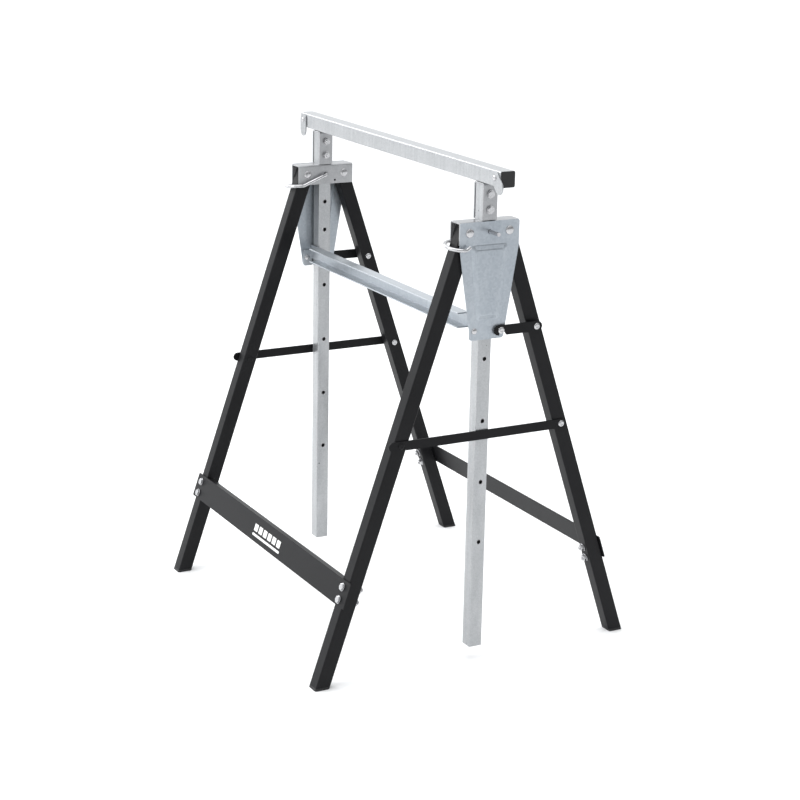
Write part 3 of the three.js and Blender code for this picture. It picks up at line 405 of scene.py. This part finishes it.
def moulded(name, colour, dull):
    plastic = bpy.data.materials.new(name)
    plastic.use_nodes = True
    tree = plastic.node_tree
    shader = tree.nodes["Principled BSDF"]
    place = tree.nodes.new("ShaderNodeTexCoord")
    grain = tree.nodes.new("ShaderNodeTexNoise")
    grain.inputs["Scale"].default_value = 900.0
    tone = tree.nodes.new("ShaderNodeValToRGB")
    tone.color_ramp.elements[0].color = (*[c * 0.7 for c in colour], 1)
    tone.color_ramp.elements[1].color = (*[c * 1.4 for c in colour], 1)
    sheen = tree.nodes.new("ShaderNodeMapRange")
    sheen.inputs["To Min"].default_value = dull - 0.05
    sheen.inputs["To Max"].default_value = dull + 0.1
    relief = tree.nodes.new("ShaderNodeBump")
    relief.inputs["Strength"].default_value = 0.2
    relief.inputs["Distance"].default_value = 0.0001
    tree.links.new(place.outputs["Object"], grain.inputs["Vector"])
    tree.links.new(grain.outputs["Fac"], tone.inputs["Fac"])
    tree.links.new(tone.outputs["Color"], shader.inputs["Base Color"])
    tree.links.new(grain.outputs["Fac"], sheen.inputs["Value"])
    tree.links.new(sheen.outputs["Result"], shader.inputs["Roughness"])
    tree.links.new(grain.outputs["Fac"], relief.inputs["Height"])
    tree.links.new(relief.outputs["Normal"], shader.inputs["Normal"])
    return plastic


cap_plastic = moulded("cap_plastic", (0.006, 0.006, 0.007), 0.5)
for side in SIDES:
    eased(f"beam_cap_{side}", 0.0006, cap_plastic)
    for end in ENDS:
        eased(f"{end}_foot_plug_{side}", 0.0005, cap_plastic)

# ------------------------------------------------------------------ beam, saddles and posts
# Galvanised square tube. The posts carry a row of punched height holes and the saddles
# straddle their tops under the beam, held by two bolts each.
tube_zinc = zinc_coat("tube_zinc", (0.34, 0.35, 0.36), (0.46, 0.47, 0.48),
                      520, 55, 0.24, 0.38, 0.0001)
eased("beam", 0.0004, tube_zinc)
for side in SIDES:
    eased(f"post_{side}", 0.0004, tube_zinc)
    eased(f"saddle_{side}", 0.0005, head_zinc)
    eased(f"edge_stop_{side}", 0.0003, tube_zinc)

# ------------------------------------------------------------------ rivets and studs
# Solid steel rivets with domed heads, closed over head, leg and gusset at each pivot. Smaller
# ones, dimpled by the setting tool, hold the straps, and studs catch the notches in the straps.
bright_zinc = zinc_coat("bright_zinc", (0.42, 0.42, 0.43), (0.60, 0.60, 0.61),
                        900, 120, 0.16, 0.30, 0.00003, metal=0.95)
ACROSS = Vector((1, 0, 0))
FORWARD = Vector((0, -1, 0))


def geometry_group(name, inputs):
    """An empty Geometry Nodes tree with named inputs, and its two ends."""
    tree = bpy.data.node_groups.new(name, "GeometryNodeTree")
    tree.is_modifier = True
    tree.interface.new_socket("Geometry", in_out="INPUT", socket_type="NodeSocketGeometry")
    for label, kind, value in inputs:
        socket = tree.interface.new_socket(label, in_out="INPUT", socket_type=kind)
        if value is not None:
            socket.default_value = value
    tree.interface.new_socket("Geometry", in_out="OUTPUT", socket_type="NodeSocketGeometry")
    return tree, tree.nodes.new("NodeGroupInput"), tree.nodes.new("NodeGroupOutput")


def wired(tree, kind, settings=None, **inputs):
    """A node with its settings, and its inputs linked to sockets or set to values."""
    node = tree.nodes.new(kind)
    for key, value in (settings or {}).items():
        setattr(node, key, value)
    for key, value in inputs.items():
        number = key[1:].isdigit()
        slot = node.inputs[int(key[1:]) if number else key.strip("_").replace("_", " ")]
        if isinstance(value, bpy.types.NodeSocket):
            tree.links.new(value, slot)
        else:
            slot.default_value = value
    return node


def sum_of(tree, a, b, operation="ADD"):
    return wired(tree, "ShaderNodeMath", {"operation": operation}, _0=a, _1=b).outputs[0]


def scaled(tree, vector, factor):
    return wired(tree, "ShaderNodeVectorMath", {"operation": "SCALE"}, _0=vector,
                 Scale=factor).outputs[0]


def marked(tree, label, kind="FLOAT"):
    """A named attribute of the seat points."""
    return wired(tree, "GeometryNodeInputNamedAttribute", {"data_type": kind},
                 Name=label).outputs["Attribute"]


def pointed(tree, vector):
    return wired(tree, "FunctionNodeAlignRotationToVector", {"axis": "Z"}, Vector=vector).outputs[0]


def moved(tree, points, offset):
    return wired(tree, "GeometryNodeSetPosition", None, Geometry=points, Offset=offset).outputs[0]


def stood(tree, points, instance, rotation, **more):
    return wired(tree, "GeometryNodeInstanceOnPoints", None, Points=points, Instance=instance,
                 Rotation=rotation, **more).outputs[0]


def finished(tree, geometry, given, made):
    """Realizes the instances, sets the finish and closes the tree."""
    whole = wired(tree, "GeometryNodeRealizeInstances", None, Geometry=geometry).outputs[0]
    tree.links.new(wired(tree, "GeometryNodeSetMaterial", None, Geometry=whole,
                         Material=given.outputs["Finish"]).outputs[0], made.inputs[0])


def smoothed(piece, crease):
    for face in piece.data.polygons:
        face.use_smooth = True
    if crease:
        piece.data.set_sharp_from_angle(angle=math.radians(crease))


def grown(name, points, links, marks, tree, values, body, replaced):
    """Runs a tree over marked points and keeps the result as a plain mesh on one body."""
    seed = bpy.data.meshes.new(name)
    seed.from_pydata(points, links, [])
    for label, kind, key, numbers in marks:
        store = seed.attributes.new(label, kind, "POINT")
        for k, number in enumerate(numbers):
            setattr(store.data[k], key, number)
    piece = bpy.data.objects.new(name, seed)
    bpy.context.scene.collection.objects.link(piece)
    growth = piece.modifiers.new(tree.name, "NODES")
    growth.node_group = tree
    for item in tree.interface.items_tree:
        if item.item_type == "SOCKET" and item.in_out == "INPUT" and item.name in values:
            growth[item.identifier] = values[item.name]
    settled(piece)
    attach(piece, body)
    if replaced:
        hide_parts(*replaced)
    return piece


def span_along(node, axis):
    """Middle point of a node across an axis, and its two ends along the axis."""
    corners = [v.co for v in nodes[node].data.vertices]
    lows = [min(c[k] for c in corners) for k in range(3)]
    highs = [max(c[k] for c in corners) for k in range(3)]
    along = [c.dot(axis) for c in corners]
    mean = Vector([(a + b) / 2 for a, b in zip(lows, highs)])
    middle = (min(along) + max(along)) / 2
    return mean - axis * (mean.dot(axis) - middle), min(along), max(along)


rivets, given, made = geometry_group("domed_rivets", [
    ("Head radius", "NodeSocketFloat", 0.007),
    ("Rise", "NodeSocketFloat", 0.0024),
    ("Dimple", "NodeSocketFloat", 0.0),
    ("Shank radius", "NodeSocketFloat", 0.004),
    ("Collar radius", "NodeSocketFloat", 0.0),
    ("Collar length", "NodeSocketFloat", 0.0),
    ("Collar offset", "NodeSocketFloat", 0.0),
    ("Has collar", "NodeSocketBool", False),
    ("Two heads", "NodeSocketBool", True),
    ("Segments", "NodeSocketInt", 40),
    ("Finish", "NodeSocketMaterial", None),
])
give = given.outputs
axis = marked(rivets, "axis", "FLOAT_VECTOR")
grip = marked(rivets, "grip")
outward = scaled(rivets, axis, sum_of(rivets, grip, 0.5, "MULTIPLY"))
inward = scaled(rivets, outward, -1.0)
ball = wired(rivets, "GeometryNodeMeshUVSphere", None, Segments=give["Segments"], Rings=20,
             Radius=give["Head radius"]).outputs["Mesh"]
spot = wired(rivets, "ShaderNodeSeparateXYZ", None,
             Vector=rivets.nodes.new("GeometryNodeInputPosition").outputs[0]).outputs
flat = sum_of(rivets, spot["Z"], 0.0, "MAXIMUM")
pitch = sum_of(rivets, give["Rise"], give["Head radius"], "DIVIDE")
domed = sum_of(rivets, flat, pitch, "MULTIPLY")
radial = wired(rivets, "ShaderNodeCombineXYZ", None, X=spot["X"], Y=spot["Y"]).outputs[0]
distance = wired(rivets, "ShaderNodeVectorMath", {"operation": "LENGTH"},
                 _0=radial).outputs["Value"]
reach = sum_of(rivets, distance, give["Head radius"], "DIVIDE")
sunk = wired(rivets, "ShaderNodeMapRange", {"interpolation_type": "SMOOTHSTEP"},
             Value=reach, From_Min=0.30, From_Max=0.52, To_Min=1.0, To_Max=0.0).outputs[0]
depth = sum_of(rivets, sunk, give["Dimple"], "MULTIPLY")
above = sum_of(rivets, spot["Z"], 0.00001, "GREATER_THAN")
height = sum_of(rivets, domed, sum_of(rivets, depth, above, "MULTIPLY"), "SUBTRACT")
place = wired(rivets, "ShaderNodeCombineXYZ", None, X=spot["X"], Y=spot["Y"], Z=height).outputs[0]
dome = wired(rivets, "GeometryNodeSetPosition", None, Geometry=ball, Position=place).outputs[0]
rod = wired(rivets, "GeometryNodeMeshCylinder", None, Vertices=give["Segments"],
            Radius=give["Shank radius"], Depth=1.0).outputs["Mesh"]
rod_size = wired(rivets, "ShaderNodeCombineXYZ", None, X=1.0, Y=1.0, Z=grip).outputs[0]
ring = wired(rivets, "GeometryNodeMeshCylinder", None, Vertices=give["Segments"],
             Radius=give["Collar radius"], Depth=give["Collar length"]).outputs["Mesh"]
along = scaled(rivets, axis, give["Collar offset"])
seats = give["Geometry"]
straight = pointed(rivets, axis)
reverse = pointed(rivets, scaled(rivets, axis, -1.0))
outer = stood(rivets, moved(rivets, seats, outward), dome, straight)
inner = stood(rivets, moved(rivets, seats, inward), dome, reverse)
rods = stood(rivets, seats, rod, straight, Scale=rod_size)
rings = stood(rivets, moved(rivets, seats, along), ring, straight)
parts = rivets.nodes.new("GeometryNodeJoinGeometry")
rivets.links.new(outer, parts.inputs[0])
for choice, piece in (("Two heads", inner), ("Has collar", rings)):
    gate = wired(rivets, "GeometryNodeSwitch", {"input_type": "GEOMETRY"},
                 Switch=give[choice], True_=piece).outputs[0]
    rivets.links.new(gate, parts.inputs[0])
    if choice == "Two heads":
        rivets.links.new(rods, parts.inputs[0])
finished(rivets, parts.outputs[0], given, made)


def riveted(name, members, axis_of, body, slot, rise, cad_rises, **values):
    """Rivets in place of CAD nodes; cad_rises are the heads' heights beyond the grip."""
    seats, axes, grips = [], [], []
    for node in members:
        axis = axis_of(node)
        middle, low, high = span_along(node, axis)
        low, high = low + cad_rises[0], high - cad_rises[1]
        seats.append(middle + axis * ((low + high) / 2 - middle.dot(axis)))
        axes.append(axis)
        grips.append(high - low)
    marks = [("axis", "FLOAT_VECTOR", "vector", axes), ("grip", "FLOAT", "value", grips)]
    named = {key.replace("_", " "): value for key, value in values.items()}
    piece = grown(name, seats, [], marks, rivets, {"Rise": rise, **named}, body, members)
    smoothed(piece, 35)
    return piece


def outward_x(node):
    return ACROSS if "right" in node else -ACROSS


PIVOT_RISE, BAR_RISE, STRAP_RISE, STUD_RISE, STOP_RISE = 0.0024, 0.0020, 0.0020, 0.0022, 0.0018
DIMPLE, BLACK_DIMPLE = 0.0008, 0.0006
riveted("pivot_rivets", [f"{end}_pivot_rivet_{side}" for end in ENDS for side in SIDES],
        outward_x, "frame", "zinc", PIVOT_RISE, (PIVOT_RISE, PIVOT_RISE + RIM_DROP),
        Head_radius=0.0070, Shank_radius=0.0040, Finish=bright_zinc)
riveted("crossbar_rivets", [f"crossbar_rivet_{side}" for side in SIDES],
        outward_x, "frame", "zinc", BAR_RISE, (BAR_RISE, BAR_RISE + RIM_DROP),
        Head_radius=0.0048, Shank_radius=0.0030, Finish=bright_zinc)
riveted("latch_studs", [f"latch_stud_{side}" for side in SIDES],
        outward_x, "frame", "zinc", STRAP_RISE, (0.0, STUD_RISE), Two_heads=False,
        Head_radius=0.0054, Shank_radius=0.0030, Dimple=DIMPLE, Finish=bright_zinc)
# The spreader studs take the legs' black coat, so both heads are as dark as the leg.
riveted("spreader_studs", [f"spreader_stud_{side}" for side in SIDES],
        outward_x, "front_legs", "black", STRAP_RISE, (STRAP_RISE, STRAP_RISE),
        Head_radius=0.0052, Shank_radius=0.0030, Dimple=BLACK_DIMPLE, Finish=leg_black)
riveted("spreader_rivets", [f"spreader_rivet_{side}" for side in SIDES],
        outward_x, "rear_legs", "zinc", STRAP_RISE, (STRAP_RISE, STRAP_RISE),
        Head_radius=0.0052, Shank_radius=0.0030, Dimple=DIMPLE, Finish=bright_zinc)
_, _, leg_outer = span_along("rear_leg_right", ACROSS)
_, rivet_inner, rivet_outer = span_along("latch_rivet_right", ACROSS)
_, hook_inner, _ = span_along("latch_hook_right", ACROSS)
CLEARANCE = 0.0003
collar_start, collar_end = leg_outer + CLEARANCE, hook_inner - CLEARANCE
riveted("latch_rivets", [f"latch_rivet_{side}" for side in SIDES],
        outward_x, "rear_legs", "zinc", STRAP_RISE, (STRAP_RISE, STRAP_RISE), Has_collar=True,
        Collar_radius=0.0048, Collar_length=collar_end - collar_start,
        Collar_offset=(collar_start + collar_end) / 2 - (rivet_inner + rivet_outer) / 2,
        Head_radius=0.0052, Shank_radius=0.0030, Dimple=DIMPLE, Finish=bright_zinc)
riveted("edge_stop_rivets", [f"edge_stop_rivet_{side}" for side in SIDES],
        lambda node: FORWARD, "lift", "zinc", STOP_RISE, (STRAP_RISE, STOP_RISE),
        Head_radius=0.0044, Shank_radius=0.0025, Finish=bright_zinc)

# ------------------------------------------------------------------ bolts
# Zinc-plated hexagon screws with a washer under head and nut, the end of the thread standing
# just proud of the nut. Two hold each end of a rail, two clamp each saddle on its post.
HEAD_TALL, NUT_TALL, WASHER_THICK, THREAD_OUT = 0.0040, 0.0050, 0.0012, 0.0022
bolts, given, made = geometry_group("hex_bolts", [
    ("Across flats", "NodeSocketFloat", 0.010),
    ("Head rise", "NodeSocketFloat", HEAD_TALL - WASHER_THICK),
    ("Nut rise", "NodeSocketFloat", NUT_TALL),
    ("Chamfer", "NodeSocketFloat", 0.0006),
    ("Washer radius", "NodeSocketFloat", 0.0065),
    ("Washer rise", "NodeSocketFloat", WASHER_THICK),
    ("Thread radius", "NodeSocketFloat", 0.0030),
    ("Thread out", "NodeSocketFloat", THREAD_OUT),
    ("Thread pitch", "NodeSocketFloat", 0.0010),
    ("Seed", "NodeSocketInt", 7),
    ("Finish", "NodeSocketMaterial", None),
])
give = given.outputs


def lifted(tree, mesh, height):
    shift = wired(tree, "ShaderNodeCombineXYZ", None, Z=height).outputs[0]
    return wired(tree, "GeometryNodeTransform", None, Geometry=mesh, Translation=shift).outputs[0]


def hexagon(tall):
    """A six-sided block standing on the washer, with its outer corners chamfered."""
    block = wired(bolts, "GeometryNodeMeshCylinder", None, Vertices=6,
                  Radius=sum_of(bolts, give["Across flats"], 3 ** 0.5, "DIVIDE"),
                  Depth=sum_of(bolts, tall, give["Chamfer"], "SUBTRACT"))
    raised = wired(bolts, "GeometryNodeExtrudeMesh", {"mode": "FACES"}, Mesh=block.outputs["Mesh"],
                   Selection=block.outputs["Top"], Offset_Scale=give["Chamfer"])
    drawn_in = wired(bolts, "GeometryNodeScaleElements", None, Geometry=raised.outputs["Mesh"],
                     Selection=raised.outputs["Top"], Scale=0.86).outputs[0]
    middle = sum_of(bolts, sum_of(bolts, tall, give["Chamfer"], "SUBTRACT"), 0.5, "MULTIPLY")
    return lifted(bolts, drawn_in, sum_of(bolts, middle, give["Washer rise"]))


def washer():
    plate = wired(bolts, "GeometryNodeMeshCylinder", None, Vertices=32, Depth=give["Washer rise"],
                  Radius=give["Washer radius"]).outputs["Mesh"]
    return lifted(bolts, plate, sum_of(bolts, give["Washer rise"], 0.5, "MULTIPLY"))


axis = marked(bolts, "axis", "FLOAT_VECTOR")
grip = marked(bolts, "grip")
behind = scaled(bolts, axis, -1.0)
to_nut = scaled(bolts, behind, grip)
straight = pointed(bolts, axis)
reverse = pointed(bolts, behind)
turn = wired(bolts, "FunctionNodeRandomValue", {"data_type": "FLOAT"}, Seed=give["Seed"])
spin = wired(bolts, "FunctionNodeAxisAngleToRotation", None, Axis=(0, 0, 1),
             Angle=next(o for o in turn.outputs if o.enabled and o.type == "VALUE")).outputs[0]
head_turn, nut_turn = (
    wired(bolts, "FunctionNodeRotateRotation", {"rotation_space": "LOCAL"}, Rotation=way,
          Rotate_By=spin).outputs[0] for way in (straight, reverse))
end_reach = sum_of(bolts, sum_of(bolts, give["Washer rise"], give["Nut rise"]), give["Thread out"])
stub = wired(bolts, "GeometryNodeMeshCylinder", {"fill_type": "TRIANGLE_FAN"}, Vertices=24,
             Side_Segments=24, Radius=give["Thread radius"], Depth=end_reach).outputs["Mesh"]
spot = wired(bolts, "ShaderNodeSeparateXYZ", None,
             Vector=bolts.nodes.new("GeometryNodeInputPosition").outputs[0]).outputs
ridge = wired(bolts, "ShaderNodeMath", {"operation": "PINGPONG"}, _0=spot["Z"],
              _1=sum_of(bolts, give["Thread pitch"], 0.5, "MULTIPLY")).outputs[0]
draw_in = sum_of(bolts, 1.0, sum_of(bolts, ridge, 160.0, "MULTIPLY"), "SUBTRACT")
threaded = wired(bolts, "GeometryNodeSetPosition", None, Geometry=stub, Position=wired(
    bolts, "ShaderNodeCombineXYZ", None, X=sum_of(bolts, spot["X"], draw_in, "MULTIPLY"),
    Y=sum_of(bolts, spot["Y"], draw_in, "MULTIPLY"), Z=spot["Z"]).outputs[0]).outputs[0]
head_end = bolts.nodes.new("GeometryNodeJoinGeometry")
nut_end = bolts.nodes.new("GeometryNodeJoinGeometry")
for part in (washer(), hexagon(give["Head rise"])):
    bolts.links.new(part, head_end.inputs[0])
for part in (washer(), hexagon(give["Nut rise"]),
             lifted(bolts, threaded, sum_of(bolts, end_reach, 0.5, "MULTIPLY"))):
    bolts.links.new(part, nut_end.inputs[0])
shank = lifted(bolts, wired(bolts, "GeometryNodeMeshCylinder", None, Vertices=24, Depth=1.0,
                            Radius=give["Thread radius"]).outputs["Mesh"], 0.5)
shank_size = wired(bolts, "ShaderNodeCombineXYZ", None, X=1.0, Y=1.0, Z=grip).outputs[0]
seats = give["Geometry"]
heads = stood(bolts, seats, head_end.outputs[0], head_turn)
nuts = stood(bolts, moved(bolts, seats, to_nut), nut_end.outputs[0], nut_turn)
shanks = stood(bolts, seats, shank, reverse, Scale=shank_size)
parts = bolts.nodes.new("GeometryNodeJoinGeometry")
for part in (heads, nuts, shanks):
    bolts.links.new(part, parts.inputs[0])
finished(bolts, parts.outputs[0], given, made)


def bolted(name, members, axis_of, body):
    """Hexagon bolts in place of CAD nodes, heads towards each node's axis."""
    seats, axes, grips = [], [], []
    for node in members:
        axis = axis_of(node)
        middle, low, high = span_along(node, axis)
        seats.append(middle + axis * (high - HEAD_TALL - middle.dot(axis)))
        axes.append(axis)
        grips.append(high - low - HEAD_TALL - WASHER_THICK - NUT_TALL - THREAD_OUT)
    marks = [("axis", "FLOAT_VECTOR", "vector", axes), ("grip", "FLOAT", "value", grips)]
    return grown(name, seats, [], marks, bolts, {"Finish": bright_zinc}, body, members)


rail_out = {"front": rail_normal,
            "rear": Vector((0, math.cos(LEG_LEAN), math.sin(LEG_LEAN)))}
for end in ENDS:
    bolted(f"{end}_rail_bolts", [f"{end}_rail_bolt_{side}_{k}" for side in SIDES for k in (1, 2)],
           lambda node: rail_out[node.split("_")[0]], f"{end}_legs")
bolted("saddle_bolts", [f"saddle_bolt_{side}_{k}" for side in SIDES for k in (1, 2)],
       outward_x, "lift")

# ------------------------------------------------------------------ punched hole rims
# The punch leaves a thin turned lip round every height hole in the posts. It catches the light
# as a bright ring on the tube's left and right faces.
rims, given, made = geometry_group("punched_rims", [
    ("Hole radius", "NodeSocketFloat", 0.0035),
    ("Lip", "NodeSocketFloat", 0.0004),
    ("Finish", "NodeSocketMaterial", None),
])
give = given.outputs
path, edge = (
    wired(rims, "GeometryNodeCurvePrimitiveCircle", None, Resolution=count,
          Radius=give[label]).outputs[0] for count, label in ((32, "Hole radius"), (8, "Lip")))
lip = wired(rims, "GeometryNodeCurveToMesh", None, Curve=path, Profile_Curve=edge).outputs[0]
each = stood(rims, give["Geometry"], lip, pointed(rims, marked(rims, "axis", "FLOAT_VECTOR")))
finished(rims, each, given, made)
HOLES_DOWN = (0.0, 0.05, 0.1, 0.2, 0.3, 0.4, 0.5)
rim_points, rim_axes = [], []
for side in SIDES:
    middle, low, high = span_along(f"post_{side}", ACROSS)
    for down in HOLES_DOWN:
        for face in (low, high):
            rim_points.append((face, middle.y, PIVOT_HEIGHT - down))
            rim_axes.append(ACROSS)
rim_piece = grown("height_hole_rims", rim_points, [],
                  [("axis", "FLOAT_VECTOR", "vector", rim_axes)], rims,
                  {"Hole radius": 0.0037, "Finish": bright_zinc}, "lift", ())
smoothed(rim_piece, None)

# ------------------------------------------------------------------ wire locking pins
# One length of round spring wire per side, bent into a hanging bow: its straight shank goes
# through head and post, and the bow's far end hangs free by the gusset. Plated like the rivets.
wires, given, made = geometry_group("bent_wire", [
    ("Wire radius", "NodeSocketFloat", 0.003),
    ("Steps", "NodeSocketInt", 160),
    ("Finish", "NodeSocketMaterial", None),
])
give = given.outputs
line = wired(wires, "GeometryNodeMeshToCurve", None, Mesh=give["Geometry"]).outputs[0]
even = wired(wires, "GeometryNodeResampleCurve", None, Curve=line, Count=give["Steps"]).outputs[0]
sized = wired(wires, "GeometryNodeSetCurveRadius", None, Curve=even,
              Radius=marked(wires, "swell")).outputs[0]
section = wired(wires, "GeometryNodeCurvePrimitiveCircle", None, Resolution=24,
                Radius=give["Wire radius"]).outputs[0]
drawn = wired(wires, "GeometryNodeCurveToMesh", None, Curve=sized, Profile_Curve=section,
              Fill_Caps=True).outputs[0]
finished(wires, drawn, given, made)


def smooth_path(knots, rounds):
    """Catmull-Rom curve through the knots, in even steps between each two."""
    ends = [2 * knots[0] - knots[1]] + knots + [2 * knots[-1] - knots[-2]]
    line = []
    for a, b, c, d in zip(ends, ends[1:], ends[2:], ends[3:]):
        for k in range(rounds):
            t = k / rounds
            line.append(0.5 * (2 * b + (c - a) * t + (2 * a - 5 * b + 4 * c - d) * t * t
                               + (3 * b - 3 * c + d - a) * t ** 3))
    return line + [knots[-1]]


WIRE_RADIUS, TIP_SWELLS = 0.003, (1.0, 1.0, 0.9, 0.62)
DROP, ARM, BEND, BOW_DROP = math.radians(21), 0.0493, 0.005, 0.0065
SHANK_START, INNER_ARM, OUTER_ARM = 0.0118, 0.0207, 0.0230
for side, hand in (("left", -1), ("right", 1)):
    station = span_along(f"post_{side}", ACROSS)[0].x * hand
    across_pin = outward_x(side)
    inner_arm, outer_arm = station - INNER_ARM, station + OUTER_ARM
    bow, middle = (outer_arm - inner_arm) / 2, (outer_arm + inner_arm) / 2
    knots = [Vector((station - SHANK_START, 0, PIVOT_HEIGHT))]
    for k in range(5):
        a = k * math.pi / 8
        run = BEND * (1 - math.cos(a))
        knots.append(Vector((inner_arm + BEND * (1 - math.sin(a)), -run * math.cos(DROP),
                             PIVOT_HEIGHT - run * math.sin(DROP))))
    for share in (0.3, 0.6, 0.85):
        knots.append(Vector((inner_arm, -ARM * share * math.cos(DROP),
                             PIVOT_HEIGHT - ARM * share * math.sin(DROP))))
    for k in range(13):
        a = k * math.pi / 12
        run = ARM + bow * math.sin(a)
        sag = ARM * math.sin(DROP) + BOW_DROP * math.sin(a / 2) ** 2
        knots.append(Vector((middle - bow * math.cos(a), -run * math.cos(DROP),
                             PIVOT_HEIGHT - sag)))
    for back_by, share in ((0.004, 0.85), (0.009, 0.35)):
        knots.append(Vector((outer_arm, -(ARM - back_by) * math.cos(DROP),
                             PIVOT_HEIGHT - ARM * math.sin(DROP) - BOW_DROP * share)))
    line = [Vector((p.x * hand, p.y, p.z)) for p in smooth_path(knots, 8)]
    links = [(k, k + 1) for k in range(len(line) - 1)]
    first = len(line)
    _, near, far = span_along(f"locking_pin_tip_{side}", across_pin)
    for reach in (near, far - 0.0012, far - 0.0005, far):
        line.append(across_pin * reach + Vector((0, 0, PIVOT_HEIGHT)))
    swells = [1.0] * first + list(TIP_SWELLS)
    links += [(k, k + 1) for k in range(first, len(line) - 1)]
    pin = grown(f"wire_pin_{side}", line, links, [("swell", "FLOAT", "value", swells)], wires,
                {"Wire radius": WIRE_RADIUS, "Finish": bright_zinc}, f"pin_{side}",
                (f"locking_pin_{side}", f"locking_pin_tip_{side}"))
    smoothed(pin, 40)
